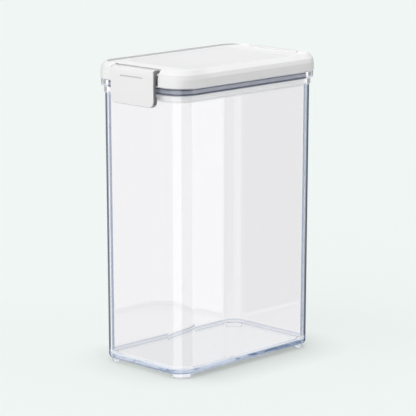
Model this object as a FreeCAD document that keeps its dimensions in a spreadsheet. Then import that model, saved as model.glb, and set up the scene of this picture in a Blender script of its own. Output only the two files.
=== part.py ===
"""Cereal container with a white lid that two end latches hold down.

The frame is +Z up, X along the long side and Y along the short side. The origin is on the floor,
in the middle of the footprint. All sizes are millimetres.
"""
import FreeCAD
import Part
import math
import os
import Sketcher

Vector = FreeCAD.Vector
Rotation = FreeCAD.Rotation
Placement = FreeCAD.Placement
QUARTER_TURN = math.pi / 2
HALF_TURN = 180
# How far an edge may lie from a height and still count as on it.
NEAR = 0.01

# Driving sizes, each written once. The sheet holds the same names.
SIZES = {
    # container: footprint, walls and feet
    "base_length": 153.0,
    "base_width": 92.5,
    "base_radius": 15.5,
    "wall_length": 155.0,
    "wall_width": 94.0,
    "wall_radius": 15.5,
    "wall_height": 216.1,
    "wall_thickness": 2.2,
    "floor_thickness": 3.4,
    "base_edge_radius": 2.4,
    "inner_edge_radius": 3.6,
    "foot_height": 3.6,
    "foot_margin": 0.3,
    "foot_edge_radius": 0.8,
    "foot_width": 4.6,
    "foot_trim": 1.2,
    "foot_end_radius": 1.4,
    # container: the two steps round the mouth
    "step_height": 5.1,
    "step_out": 0.9,
    "flange_height": 5.9,
    "flange_out": 3.1,
    "catch_rise": 0.8,
    "catch_width": 1.4,
    # lid cover
    "skirt_gap": 0.3,
    "skirt_out": 3.5,
    "lid_height": 13.4,
    "lid_wall": 2.6,
    "lid_top_thickness": 2.6,
    "shoulder_height": 3.4,
    "shoulder_width": 4.0,
    "shoulder_round": 1.5,
    "rim_land": 1.2,
    "dish_depth": 1.1,
    "dish_end_slope": 19.0,
    "dish_side_slope": 5.2,
    "panel_radius": 12.0,
    "notch_wall": 2.0,
    "cheek_thickness": 2.6,
    "rib_height": 4.5,
    "rib_thickness": 1.6,
    # inner liner and its seal
    "mouth_clearance": 0.5,
    "liner_depth": 11.2,
    "liner_band_height": 5.2,
    "liner_wall": 2.2,
    "liner_floor": 2.0,
    "liner_gap": 0.4,
    "liner_fit": 0.1,
    "liner_line_width": 0.5,
    "liner_line_depth": 0.3,
    "seal_clearance": 0.12,
    "seal_lip_height": 1.0,
    "seal_lip_depth": 0.5,
    "seal_end_gap": 0.1,
    # latches and hinge pins
    "hinge_inset": 2.0,
    "hinge_drop": 4.4,
    "hub_radius": 3.6,
    "hub_clearance": 0.4,
    "latch_width": 48.0,
    "latch_side_gap": 1.7,
    "latch_standoff": 3.6,
    "latch_thickness": 3.1,
    "latch_length": 25.5,
    "latch_corner_radius": 5.0,
    "latch_top_radius": 3.2,
    "latch_edge_round": 0.7,
    "hook_gap": 0.45,
    "hook_overlap": 1.1,
    "hook_height": 4.6,
    "hook_lead": 1.6,
    "hook_width": 40.0,
    "line_length": 25.0,
    "line_width": 0.7,
    "line_depth": 0.4,
    "line_drop": 2.8,
    "pin_radius": 1.1,
    "pin_clearance": 0.05,
    "pin_seat": 2.2,
    "pin_end_gap": 0.1,
    # one overrun for every cut
    "overrun": 4.0,
}

# Places up the liner's band and up the seal, as shares of their heights.
LINER_LINE_SHARES = (0.3, 0.62)
SEAL_LIP_SHARES = (0.12, 0.88)


class Size:
    """A size as a number, and as the formula that binds it to the sheet."""

    def __init__(self, number, formula):
        self.number = number
        self.formula = formula

    def _with(self, other, sign, number):
        formula = other.formula if isinstance(other, Size) else str(other)
        return Size(number, f"({self.formula} {sign} {formula})")

    def __add__(self, other):
        return self._with(other, "+", self.number + plain(other))

    def __sub__(self, other):
        return self._with(other, "-", self.number - plain(other))

    def __mul__(self, other):
        return self._with(other, "*", self.number * plain(other))

    def __truediv__(self, other):
        return self._with(other, "/", self.number / plain(other))

    def __neg__(self):
        return self * -1


def plain(value):
    """The number of a size, or of a plain number."""
    return value.number if isinstance(value, Size) else value


def size(name):
    """One driving size."""
    return Size(SIZES[name], f"sizes.{name}")


ZERO = Size(0.0, "0")

doc = FreeCAD.newDocument("cereal_container")
sheet = doc.addObject("Spreadsheet::Sheet", "sizes")
for row, (alias, number) in enumerate(SIZES.items(), start=1):
    sheet.set(f"A{row}", alias)
    sheet.set(f"B{row}", str(number))
    sheet.setAlias(f"B{row}", alias)
doc.recompute()

# Heights that several pieces share.
base_z = size("foot_height")
floor_z = base_z + size("floor_thickness")
wall_top_z = base_z + size("wall_height")
flange_z = wall_top_z + size("step_height")
mouth_z = flange_z + size("flange_height")
skirt_z = mouth_z + size("skirt_gap")
lid_top_z = skirt_z + size("lid_height")
panel_z = lid_top_z - size("dish_depth")
ceiling_z = panel_z - size("lid_top_thickness")
liner_z = skirt_z - size("liner_depth")
band_top_z = liner_z + size("liner_band_height")
hinge_z = lid_top_z - size("hinge_drop")

# Distances from the middle that several pieces share.
skirt_x = size("wall_length") / 2 + size("skirt_out")
flange_x = size("wall_length") / 2 + size("flange_out")
mouth_x = size("wall_length") / 2 - size("wall_thickness")
hinge_x = skirt_x - size("hinge_inset")
notch_x = hinge_x - size("hub_radius") - size("hub_clearance")
notch_inner_x = notch_x - size("notch_wall")
notch_y = size("latch_width") / 2 + size("latch_side_gap")
collar_inset = mouth_x - notch_inner_x + size("liner_gap") + size("wall_thickness")


def bind(thing, path, value):
    """Bind one property of a document object to the sheet."""
    thing.setExpression(path, value.formula)


def new_body(name):
    """A body that becomes one node, under its own label."""
    body = doc.addObject("PartDesign::Body", name)
    body.Label = name
    return body


def plane(body, role):
    """One of the body's own origin planes."""
    return next(item for item in body.Origin.OriginFeatures if item.Role == role)


def new_sketch(body, name, role="XY_Plane", offset=ZERO):
    """A sketch on an origin plane, moved along the plane's normal."""
    sketch = body.newObject("Sketcher::SketchObject", name)
    sketch.AttachmentSupport = [(plane(body, role), "")]
    sketch.MapMode = "FlatFace"
    sketch.AttachmentOffset = Placement(Vector(0, 0, offset.number), Rotation())
    bind(sketch, "AttachmentOffset.Base.z", offset)
    return sketch


def pin_point(sketch, geometry, point, x, y):
    """Fix one point of a sketch by its two coordinates."""
    for kind, value in (("DistanceX", x), ("DistanceY", y)):
        index = sketch.addConstraint(Sketcher.Constraint(kind, -1, 1, geometry, point, value.number))
        bind(sketch, f"Constraints[{index}]", value)


def polygon(sketch, points):
    """A closed outline through points given as pairs of sizes."""
    first = sketch.GeometryCount
    count = len(points)
    corners = [Vector(x.number, y.number, 0) for x, y in points]
    for i in range(count):
        sketch.addGeometry(Part.LineSegment(corners[i], corners[(i + 1) % count]))
    for i in range(count):
        after = first + (i + 1) % count
        sketch.addConstraint(Sketcher.Constraint("Coincident", first + i, 2, after, 1))
    for i, (x, y) in enumerate(points):
        pin_point(sketch, first + i, 1, x, y)


def rectangle(sketch, x0, x1, y0, y1):
    """A rectangle between two values of x and two of y."""
    polygon(sketch, [(x0, y0), (x1, y0), (x1, y1), (x0, y1)])


def rounded(sketch, length, width, radius):
    """A rectangle with round corners, centred on the origin."""
    first = sketch.GeometryCount
    half_x, half_y, r = length.number / 2, width.number / 2, radius.number
    straight_x, straight_y = half_x - r, half_y - r
    # The sides run anticlockwise from the right one, and a corner follows each side.
    sides = [
        (Vector(half_x, -straight_y, 0), Vector(half_x, straight_y, 0)),
        (Vector(straight_x, half_y, 0), Vector(-straight_x, half_y, 0)),
        (Vector(-half_x, straight_y, 0), Vector(-half_x, -straight_y, 0)),
        (Vector(-straight_x, -half_y, 0), Vector(straight_x, -half_y, 0)),
    ]
    centres = [(1, 1), (-1, 1), (-1, -1), (1, -1)]
    for quarter, ((start, end), (sx, sy)) in enumerate(zip(sides, centres)):
        sketch.addGeometry(Part.LineSegment(start, end))
        circle = Part.Circle(Vector(sx * straight_x, sy * straight_y, 0), Vector(0, 0, 1), r)
        begin = quarter * QUARTER_TURN
        sketch.addGeometry(Part.ArcOfCircle(circle, begin, begin + QUARTER_TURN))
    for quarter in range(4):
        side, corner = first + 2 * quarter, first + 2 * quarter + 1
        following = first + (2 * quarter + 2) % 8
        sketch.addConstraint(Sketcher.Constraint("Tangent", side, 2, corner, 1))
        sketch.addConstraint(Sketcher.Constraint("Tangent", corner, 2, following, 1))
        sketch.addConstraint(Sketcher.Constraint("Vertical" if quarter % 2 == 0 else "Horizontal", side))
        if quarter:
            sketch.addConstraint(Sketcher.Constraint("Equal", first + 1, corner))
    opposite = first + 4
    sketch.addConstraint(Sketcher.Constraint("Symmetric", first, 1, opposite, 1, -1, 1))
    for constraint, value in (
        (Sketcher.Constraint("Radius", first + 1, r), radius),
        (Sketcher.Constraint("DistanceX", opposite, 1, first, 1, 2 * half_x), length),
        (Sketcher.Constraint("DistanceY", first + 6, 1, first + 2, 1, 2 * half_y), width),
    ):
        index = sketch.addConstraint(constraint)
        bind(sketch, f"Constraints[{index}]", value)


def circle(sketch, x, y, radius):
    """A circle whose centre is fixed by its coordinates."""
    shape = Part.Circle(Vector(x.number, y.number, 0), Vector(0, 0, 1), radius.number)
    geometry = sketch.addGeometry(shape)
    index = sketch.addConstraint(Sketcher.Constraint("Radius", geometry, radius.number))
    bind(sketch, f"Constraints[{index}]", radius)
    if x.number or y.number:
        pin_point(sketch, geometry, 3, x, y)
    else:
        sketch.addConstraint(Sketcher.Constraint("Coincident", geometry, 3, -1, 1))


def wall_outline(sketch, inset):
    """The wall's outline at the mouth, moved in by inset or out where it is negative."""
    grown = inset * 2
    rounded(sketch, size("wall_length") - grown, size("wall_width") - grown, size("wall_radius") - inset)


def base_outline(sketch, inset):
    """The outline at the floor, moved in by inset."""
    grown = inset * 2
    rounded(sketch, size("base_length") - grown, size("base_width") - grown, size("base_radius") - inset)


def pad(body, sketch, name, length, symmetric=False, down=False):
    """Thicken a sketch into the body."""
    feature = body.newObject("PartDesign::Pad", name)
    feature.Profile = sketch
    feature.Length = length.number
    bind(feature, "Length", length)
    feature.SideType = "Symmetric" if symmetric else "One side"
    feature.Reversed = down
    doc.recompute()
    return feature


def pocket(body, sketch, name, length, symmetric=False, up=True):
    """Cut a sketch out of the body, and stop if it takes nothing away."""
    before = body.Shape.Volume
    feature = body.newObject("PartDesign::Pocket", name)
    feature.Profile = sketch
    feature.Length = length.number
    bind(feature, "Length", length)
    feature.SideType = "Symmetric" if symmetric else "One side"
    feature.Reversed = up
    doc.recompute()
    if not body.Shape.Volume < before:
        raise RuntimeError(f"{name} cuts nothing")
    return feature


def loft(body, name, kind, sketches):
    """A straight loft between two sketches, added or cut."""
    feature = body.newObject(f"PartDesign::{kind}", name)
    feature.Profile = sketches[0]
    feature.Sections = sketches[1:]
    feature.Ruled = True
    doc.recompute()
    return feature


def edges_where(shape, test):
    """Names of the edges whose box passes a test."""
    return [f"Edge{i}" for i, edge in enumerate(shape.Edges, start=1) if test(edge.BoundBox)]


def level(z):
    """A test for edges that lie at one height."""
    return lambda box: abs(box.ZMin - z.number) < NEAR and abs(box.ZMax - z.number) < NEAR


def fillet(body, name, radius, test):
    """Round the edges of the body's last feature that pass a test."""
    base = body.Tip
    feature = body.newObject("PartDesign::Fillet", name)
    feature.Base = (base, edges_where(base.Shape, test))
    feature.Radius = radius.number
    bind(feature, "Radius", radius)
    doc.recompute()
    return feature


def make_container():
    """The clear container: drafted walls, a stepped rim and four corner feet."""
    body = new_body("container_body")
    base = new_sketch(body, "floor_outline", offset=base_z)
    base_outline(base, ZERO)
    pad(body, base, "base", size("floor_thickness"))
    fillet(body, "base_edge", size("base_edge_radius"), level(base_z))
    low = new_sketch(body, "wall_low_outline", offset=floor_z)
    base_outline(low, ZERO)
    high = new_sketch(body, "wall_high_outline", offset=wall_top_z)
    wall_outline(high, ZERO)
    loft(body, "walls", "AdditiveLoft", [low, high])
    make_rim(body)
    cut_cavity(body)
    make_feet(body)
    return body


def make_rim(body):
    """A low step, then the wider flange that the latch hooks catch under."""
    step = new_sketch(body, "step_outline", offset=wall_top_z)
    wall_outline(step, -size("step_out"))
    pad(body, step, "rim_step", size("step_height"))
    under = new_sketch(body, "catch_low_outline", offset=flange_z)
    wall_outline(under, size("catch_width") - size("flange_out"))
    over = new_sketch(body, "catch_high_outline", offset=flange_z + size("catch_rise"))
    wall_outline(over, -size("flange_out"))
    loft(body, "catch_slope", "AdditiveLoft", [under, over])
    flange = new_sketch(body, "flange_outline", offset=flange_z + size("catch_rise"))
    wall_outline(flange, -size("flange_out"))
    pad(body, flange, "flange", size("flange_height") - size("catch_rise"))


def cut_cavity(body):
    """The inside: drafted up to the rim and straight through it."""
    low = new_sketch(body, "cavity_floor", offset=floor_z)
    base_outline(low, size("wall_thickness"))
    high = new_sketch(body, "cavity_neck", offset=wall_top_z)
    wall_outline(high, size("wall_thickness"))
    loft(body, "cavity", "SubtractiveLoft", [low, high])
    mouth = new_sketch(body, "mouth_outline", offset=wall_top_z)
    wall_outline(mouth, size("wall_thickness"))
    pocket(body, mouth, "mouth", mouth_z - wall_top_z)
    fillet(body, "inner_floor_edge", size("inner_edge_radius"), level(floor_z))


def make_feet(body):
    """A low ring under the floor, cut away along the sides to leave a short foot in each corner."""
    inset = size("base_edge_radius") + size("foot_margin")
    ring = new_sketch(body, "foot_ring")
    base_outline(ring, inset)
    base_outline(ring, inset + size("foot_width"))
    pad(body, ring, "foot_ring_pad", size("foot_height"))
    gap_x = size("base_length") / 2 - size("base_radius") + size("foot_trim")
    gap_y = size("base_width") / 2 - size("base_radius") + size("foot_trim")
    for name, x, y in (
        ("long_side_gap", gap_x, size("base_width")),
        ("short_side_gap", size("base_length"), gap_y),
    ):
        gap = new_sketch(body, f"{name}_outline")
        rectangle(gap, -x, x, -y, y)
        pocket(body, gap, name, size("foot_height"))
    fillet(
        body, "foot_ends", size("foot_end_radius"),
        lambda box: box.ZMax < base_z.number + NEAR and box.XLength < NEAR and box.YLength < NEAR,
    )
    fillet(body, "foot_edges", size("foot_edge_radius"), level(ZERO))


def at_both_ends(sketch, x0, x1, y):
    """The same rectangle at each short end."""
    rectangle(sketch, x0, x1, -y, y)
    rectangle(sketch, -x1, -x0, -y, y)


def make_cover():
    """The white cover: a bevelled shell with a dished top and a notch for each latch."""
    body = new_body("lid_cover")
    shoulder_z = lid_top_z - size("shoulder_height")
    rim_inset = size("shoulder_width") - size("skirt_out")
    skirt = new_sketch(body, "skirt_outline", offset=skirt_z)
    wall_outline(skirt, -size("skirt_out"))
    pad(body, skirt, "skirt", size("lid_height") - size("shoulder_height"))
    low = new_sketch(body, "shoulder_low", offset=shoulder_z)
    wall_outline(low, -size("skirt_out"))
    high = new_sketch(body, "shoulder_high", offset=lid_top_z)
    wall_outline(high, rim_inset)
    loft(body, "shoulder", "AdditiveLoft", [low, high])
    crest, crease = level(lid_top_z), level(shoulder_z)
    fillet(body, "shoulder_rounding", size("shoulder_round"), lambda box: crest(box) or crease(box))
    cut_dish(body, rim_inset + size("rim_land"))
    cavity = new_sketch(body, "cover_cavity", offset=skirt_z)
    wall_outline(cavity, size("lid_wall") - size("skirt_out"))
    pocket(body, cavity, "cavity", ceiling_z - skirt_z)
    make_hinge_seats(body)
    make_locating_rib(body)
    return body


def cut_dish(body, inset):
    """The shallow dish in the top, with a flat panel in its middle."""
    length = skirt_x * 2 - (size("shoulder_width") + size("rim_land") + size("dish_end_slope")) * 2
    skirt_y = size("wall_width") / 2 + size("skirt_out")
    width = skirt_y * 2 - (size("shoulder_width") + size("rim_land") + size("dish_side_slope")) * 2
    low = new_sketch(body, "panel_outline", offset=panel_z)
    rounded(low, length, width, size("panel_radius"))
    high = new_sketch(body, "dish_outline", offset=lid_top_z)
    wall_outline(high, inset)
    loft(body, "dish", "SubtractiveLoft", [low, high])


def make_hinge_seats(body):
    """Walls round each notch, the notch itself and the blind bores for the hinge pins."""
    seats = new_sketch(body, "hinge_seat_outline", offset=skirt_z)
    at_both_ends(seats, notch_inner_x, skirt_x - size("lid_wall") / 2, notch_y + size("cheek_thickness"))
    pad(body, seats, "hinge_seats", ceiling_z - skirt_z)
    notches = new_sketch(body, "notch_outline", offset=skirt_z)
    at_both_ends(notches, notch_x, skirt_x + size("overrun"), notch_y)
    pocket(body, notches, "notches", size("lid_height") + size("overrun"))
    bores = new_sketch(body, "pin_bore_outline", "XZ_Plane")
    circle(bores, hinge_x, hinge_z, size("pin_radius"))
    circle(bores, -hinge_x, hinge_z, size("pin_radius"))
    pocket(body, bores, "pin_bores", (notch_y + size("pin_seat")) * 2, symmetric=True)


def make_locating_rib(body):
    """A rib under the ceiling that the liner's wall fits round."""
    inset = collar_inset + size("liner_wall") + size("liner_fit")
    rib = new_sketch(body, "locating_rib_outline", offset=ceiling_z)
    wall_outline(rib, inset)
    wall_outline(rib, inset + size("rib_thickness"))
    pad(body, rib, "locating_rib", size("rib_height"), down=True)


def make_liner():
    """The white inner liner that plugs the mouth and carries the seal."""
    body = new_body("lid_liner")
    band_inset = size("wall_thickness") + size("mouth_clearance")
    band = new_sketch(body, "band_outline", offset=liner_z)
    wall_outline(band, band_inset)
    pad(body, band, "band", size("liner_band_height"))
    collar = new_sketch(body, "collar_outline", offset=band_top_z)
    wall_outline(collar, collar_inset)
    pad(body, collar, "collar", ceiling_z - band_top_z)
    hollow_z = liner_z + size("liner_floor")
    hollow = new_sketch(body, "liner_hollow", offset=hollow_z)
    wall_outline(hollow, collar_inset + size("liner_wall"))
    pocket(body, hollow, "hollow", ceiling_z - hollow_z)
    for number, share in enumerate(LINER_LINE_SHARES, start=1):
        line_z = liner_z + size("liner_band_height") * share
        line = new_sketch(body, f"line_{number}_outline", offset=line_z)
        wall_outline(line, band_inset - size("overrun"))
        wall_outline(line, band_inset + size("liner_line_depth"))
        pocket(body, line, f"line_{number}", size("liner_line_width"))
    return body


def make_seal():
    """The soft ring round the liner, with two lips towards the mouth."""
    body = new_body("lid_seal")
    lip_inset = size("wall_thickness") + size("seal_clearance")
    core_inset = lip_inset + size("seal_lip_depth")
    seal_height = skirt_z - band_top_z - size("seal_end_gap")
    core = new_sketch(body, "seal_core_outline", offset=band_top_z)
    wall_outline(core, core_inset)
    wall_outline(core, collar_inset)
    pad(body, core, "seal_core", seal_height)
    for number, share in enumerate(SEAL_LIP_SHARES, start=1):
        lip_z = band_top_z + (seal_height - size("seal_lip_height")) * share
        lip = new_sketch(body, f"lip_{number}_outline", offset=lip_z)
        wall_outline(lip, lip_inset)
        wall_outline(lip, collar_inset)
        pad(body, lip, f"lip_{number}", size("seal_lip_height"))
    return body


def make_latch(name, side):
    """One end latch, drawn round its hinge axis, with u outwards and v up."""
    body = new_body(name)
    outer_u = size("latch_standoff") + size("hinge_inset")
    inner_u = outer_u - size("latch_thickness")
    top_v = size("hub_radius")
    bottom_v = -size("latch_length")
    plate = new_sketch(body, f"{name}_plate_outline", "XZ_Plane")
    polygon(plate, [
        (ZERO, top_v), (outer_u, top_v), (outer_u, bottom_v),
        (inner_u, bottom_v), (inner_u, ZERO), (ZERO, ZERO),
    ])
    pad(body, plate, f"{name}_plate", size("latch_width"), symmetric=True)
    round_latch(body, name, outer_u, top_v, bottom_v)
    hub = new_sketch(body, f"{name}_hub_outline", "XZ_Plane")
    circle(hub, ZERO, ZERO, size("hub_radius"))
    pad(body, hub, f"{name}_hub", size("latch_width") - size("latch_edge_round") * 2, symmetric=True)
    make_hook(body, name, inner_u)
    bore = new_sketch(body, f"{name}_bore_outline", "XZ_Plane")
    circle(bore, ZERO, ZERO, size("pin_radius") + size("pin_clearance"))
    pocket(body, bore, f"{name}_bore", size("latch_width") + size("overrun"), symmetric=True)
    line = new_sketch(body, f"{name}_line_outline", "YZ_Plane", offset=outer_u)
    half = size("line_length") / 2
    line_v = -size("line_drop")
    rectangle(line, -half, half, line_v - size("line_width"), line_v)
    pocket(body, line, f"{name}_line", size("line_depth"), up=False)
    turn = Rotation(Vector(0, 0, 1), 0 if side > 0 else HALF_TURN)
    body.Placement = Placement(Vector(side * hinge_x.number, 0, hinge_z.number), turn)
    bind(body, "Placement.Base.x", hinge_x * side)
    bind(body, "Placement.Base.z", hinge_z)
    return body


def round_latch(body, name, outer_u, top_v, bottom_v):
    """The round top edge, the two round lower corners and the softened rim of the outer face."""
    outer, top, bottom = outer_u.number, top_v.number, bottom_v.number
    fillet(
        body, f"{name}_top_rounding", size("latch_top_radius"),
        lambda box: box.XMin > outer - NEAR and box.ZMin > top - NEAR,
    )
    fillet(
        body, f"{name}_corner_rounding", size("latch_corner_radius"),
        lambda box: box.ZMax < bottom + NEAR and box.YLength < NEAR,
    )
    straight_top = top - size("latch_top_radius").number
    fillet(
        body, f"{name}_rim_rounding", size("latch_edge_round"),
        lambda box: box.XMin > outer - NEAR and box.ZMin < straight_top - NEAR,
    )


def make_hook(body, name, inner_u):
    """The hook inside the latch, with a sloped catch face under the flange."""
    low_u = flange_x - size("catch_width") - hinge_x
    tip_u = flange_x - size("hook_overlap") - hinge_x
    slope = size("catch_rise") / size("catch_width")
    flange_v = flange_z - hinge_z - size("hook_gap")
    tip_v = flange_v + (tip_u - low_u) * slope
    root_v = flange_v + (inner_u - low_u) * slope
    foot_v = tip_v - size("hook_height")
    deep_u = inner_u + size("latch_thickness") / 2
    hook = new_sketch(body, f"{name}_hook_outline", "XZ_Plane")
    polygon(hook, [
        (tip_u, tip_v), (inner_u, root_v), (deep_u, root_v), (deep_u, foot_v), (inner_u, foot_v),
        (tip_u, foot_v + size("hook_lead")),
    ])
    pad(body, hook, f"{name}_hook", size("hook_width"), symmetric=True)


def make_pin(name, side):
    """One hinge pin, held in the cheeks of the cover."""
    pin = doc.addObject("Part::Cylinder", name)
    pin.Label = name
    length = (notch_y + size("pin_seat") - size("pin_end_gap")) * 2
    bind(pin, "Radius", size("pin_radius"))
    bind(pin, "Height", length)
    pin.Placement = Placement(
        Vector(side * hinge_x.number, -length.number / 2, hinge_z.number),
        Rotation(Vector(1, 0, 0), -HALF_TURN / 2),
    )
    bind(pin, "Placement.Base.x", hinge_x * side)
    bind(pin, "Placement.Base.y", -length / 2)
    bind(pin, "Placement.Base.z", hinge_z)
    return pin


nodes = [
    make_container(),
    make_cover(),
    make_liner(),
    make_seal(),
    make_latch("left_latch", -1),
    make_latch("right_latch", 1),
    make_pin("left_hinge_pin", -1),
    make_pin("right_hinge_pin", 1),
]
doc.recompute()

for thing in doc.Objects:
    if "Invalid" in thing.State or "Error" in thing.State:
        raise RuntimeError(f"{thing.Name} failed: {thing.State}")
for node in nodes:
    if node.Shape.isNull() or not node.Shape.isValid() or not node.Shape.Solids:
        raise RuntimeError(f"{node.Label} has no sound solid")

os.makedirs("parts", exist_ok=True)
for node in nodes:
    node.Shape.exportStep(f"parts/{node.Label}.step")
    box = node.Shape.BoundBox
    spans = (box.XMin, box.XMax), (box.YMin, box.YMax), (box.ZMin, box.ZMax)
    print(
        f"{node.Label}: {len(node.Shape.Solids)} solid, {node.Shape.Volume:.0f} cubic mm, "
        + ", ".join(f"{axis} {low:.2f} to {high:.2f}" for axis, (low, high) in zip("xyz", spans))
    )
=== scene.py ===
# %% [markdown]
# # A tall clear keeper for cereal, with a white clip-down lid
#
# The CAD model comes in as a fixed frame: eight pieces on four bodies, in metres, standing on
# z = 0. This file gives each piece the surface, the finish and the light that the real one has.

# %% Load the frame
import math

import bmesh
import bpy
from mathutils import Matrix, Vector


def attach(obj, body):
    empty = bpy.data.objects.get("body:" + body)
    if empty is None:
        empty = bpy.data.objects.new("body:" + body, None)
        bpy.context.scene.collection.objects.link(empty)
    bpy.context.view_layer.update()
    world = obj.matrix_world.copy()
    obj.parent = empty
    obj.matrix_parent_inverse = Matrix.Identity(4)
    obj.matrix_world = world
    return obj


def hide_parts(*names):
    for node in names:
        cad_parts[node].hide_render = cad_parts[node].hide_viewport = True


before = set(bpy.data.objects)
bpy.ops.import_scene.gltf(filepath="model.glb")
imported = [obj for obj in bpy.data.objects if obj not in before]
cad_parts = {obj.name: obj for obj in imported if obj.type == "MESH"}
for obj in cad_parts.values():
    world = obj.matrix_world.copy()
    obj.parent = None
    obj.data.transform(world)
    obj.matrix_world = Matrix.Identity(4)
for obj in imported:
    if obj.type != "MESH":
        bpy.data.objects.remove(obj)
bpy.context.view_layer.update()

scene = bpy.context.scene

# %% [markdown]
# ## Camera
#
# A product shot like this is taken with a long lens from a few steps away, so upright edges stay
# nearly parallel. The camera is placed on a ball round the middle of the keeper: an azimuth, an
# elevation and a distance. That is easier to compare with a photograph than raw coordinates.

# %% Place the camera
AZIMUTH = math.radians(-45.3)
ELEVATION = math.radians(11.65)
DISTANCE = 1.85
LENS = 198.2
AIM = Vector((-0.0002, 0.0002, 0.121))

away = Vector((
    math.sin(AZIMUTH) * math.cos(ELEVATION),
    -math.cos(AZIMUTH) * math.cos(ELEVATION),
    math.sin(ELEVATION),
))
lens = bpy.data.cameras.new("camera")
lens.lens = LENS
lens.sensor_width = 36
lens.clip_end = 100
camera = bpy.data.objects.new("camera", lens)
camera.location = AIM + DISTANCE * away
camera.rotation_euler = (-away).to_track_quat("-Z", "Y").to_euler()
scene.collection.objects.link(camera)
scene.camera = camera
print("camera at", [round(v, 3) for v in camera.location])

# %% [markdown]
# ## Sizes
#
# All lengths below are millimetres and become metres only when a mesh or a mask is made. The
# outline of the walls drives nearly everything: the flange, the lid, the liner and the seal are
# that same outline moved in or out, so each of them is written as an offset from it and a height.
# Along the length and the width, sizes are halves, counted from the middle of the keeper.

# %% Sizes of the walls in millimetres
MM = 0.001
BASE_X, BASE_Y = 76.5, 46.25
TOP_X, TOP_Y = 77.5, 47.0
WALL_RADIUS, WALL = 15.5, 2.2
UNDER_Z, FLOOR_Z, NECK_Z, MOUTH_Z = 3.6, 7.0, 219.7, 230.7
print("room inside the floor:", 2 * (BASE_X - WALL), "by", 2 * (BASE_Y - WALL), "mm")

# %% [markdown]
# ## Rings, profiles and skins
#
# Every upright wall on this keeper follows a rectangle with round corners. A ring of points
# round such a rectangle is the brick that the clear body and the cover are built from: rings are
# stacked along a profile and joined with quads. A box with a bevel would be quicker, but a
# profile gives the draft of the wall, the steps round the mouth and every small rounding.

# %% Rings
CORNER_STEPS = 18


def ring(half_x, half_y, radius, z):
    """Points round a rectangle with round corners, anticlockwise, in millimetres."""
    points = []
    for quarter, (sx, sy) in enumerate([(1, 1), (-1, 1), (-1, -1), (1, -1)]):
        for step in range(CORNER_STEPS + 1):
            turn = (quarter + step / CORNER_STEPS) * math.pi / 2
            x = sx * (half_x - radius) + radius * math.cos(turn)
            y = sy * (half_y - radius) + radius * math.sin(turn)
            points.append((x, y, z))
    return points


def top_ring(off, z):
    """The wall's outline at the mouth, moved out by off."""
    return ring(TOP_X + off, TOP_Y + off, WALL_RADIUS + off, z)


def body_ring(off, z):
    """The wall's outline at a height, moved out by off: it grows a little towards the neck."""
    share = min(max((z - FLOOR_Z) / (NECK_Z - FLOOR_Z), 0), 1)
    half_x = BASE_X + share * (TOP_X - BASE_X) + off
    half_y = BASE_Y + share * (TOP_Y - BASE_Y) + off
    return ring(half_x, half_y, WALL_RADIUS + off, z)


print("points in a ring:", len(top_ring(0, MOUTH_Z)))

# %% Rounded profiles
ROUND_STEP = math.radians(15)


def soften(profile):
    """Rounds the corners of a profile of (off, z, radius) and returns (off, z) points."""
    points = []
    for i, (off, z, radius) in enumerate(profile):
        corner = Vector((off, z))
        if not radius or i in (0, len(profile) - 1):
            points.append((off, z))
            continue
        before = (Vector(profile[i - 1][:2]) - corner).normalized()
        after = (Vector(profile[i + 1][:2]) - corner).normalized()
        half = before.angle(after) / 2
        reach = radius / math.tan(half)
        centre = corner + (before + after).normalized() * radius / math.sin(half)
        start, end = corner + before * reach, corner + after * reach
        sweep = (start - centre).angle_signed(end - centre)
        steps = max(3, round(abs(sweep) / ROUND_STEP))
        for step in range(steps + 1):
            turned = start - centre
            turned.rotate(Matrix.Rotation(-sweep * step / steps, 2))
            points.append(tuple(centre + turned))
    return points


print("points in a rounded square corner:", len(soften([(0, 0, 0), (1, 0, 0.2), (1, 1, 0)])) - 2)


# %% Skins
def skin(name, rings):
    """A closed mesh through rings of points given in millimetres."""
    shape = bmesh.new()
    rows = [[shape.verts.new(Vector(p) * MM) for p in points] for points in rings]
    count = len(rows[0])
    for low, high in zip(rows, rows[1:]):
        for i in range(count):
            j = (i + 1) % count
            shape.faces.new((low[i], low[j], high[j], high[i]))
    shape.faces.new(list(reversed(rows[0])))
    shape.faces.new(rows[-1])
    bmesh.ops.recalc_face_normals(shape, faces=shape.faces)
    for face in shape.faces:
        face.smooth = True
    mesh = bpy.data.meshes.new(name)
    shape.to_mesh(mesh)
    shape.free()
    piece = bpy.data.objects.new(name, mesh)
    scene.collection.objects.link(piece)
    print(name, "has", len(rings), "rings of", count, "points")
    return piece


# %% [markdown]
# ## Joining, cutting and smoothing
#
# A modifier is a recipe that Blender keeps beside a mesh. Here each one is made final at once, so
# that the next step starts from a plain mesh. The Boolean modifier joins two closed shapes into
# one or cuts one out of the other. Weighted normals come last: they make a large flat face shade
# flat, and let only the small faces of a rounding carry the bend.

# %% Modifiers
SMOOTH_WEIGHT = 80


def modify(piece, kind, **settings):
    """Adds one modifier and sets its values."""
    modifier = piece.modifiers.new(kind.lower(), kind)
    for key, value in settings.items():
        setattr(modifier, key, value)
    return modifier


def settle(piece):
    """Replaces a piece's mesh by what its modifiers make of it."""
    seen = piece.evaluated_get(bpy.context.evaluated_depsgraph_get())
    mesh = bpy.data.meshes.new_from_object(seen)
    if piece.type == "MESH":
        piece.modifiers.clear()
        piece.data = mesh
        mesh.name = piece.name
        return piece
    name = piece.name
    bpy.data.objects.remove(piece)
    made = bpy.data.objects.new(name, mesh)
    mesh.name = name
    scene.collection.objects.link(made)
    return made


def combine(piece, other, operation):
    """Joins or cuts two closed meshes, and deletes the second."""
    modify(piece, "BOOLEAN", operation=operation, object=other, solver="EXACT")
    settle(piece)
    bpy.data.objects.remove(other)
    return piece


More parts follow.
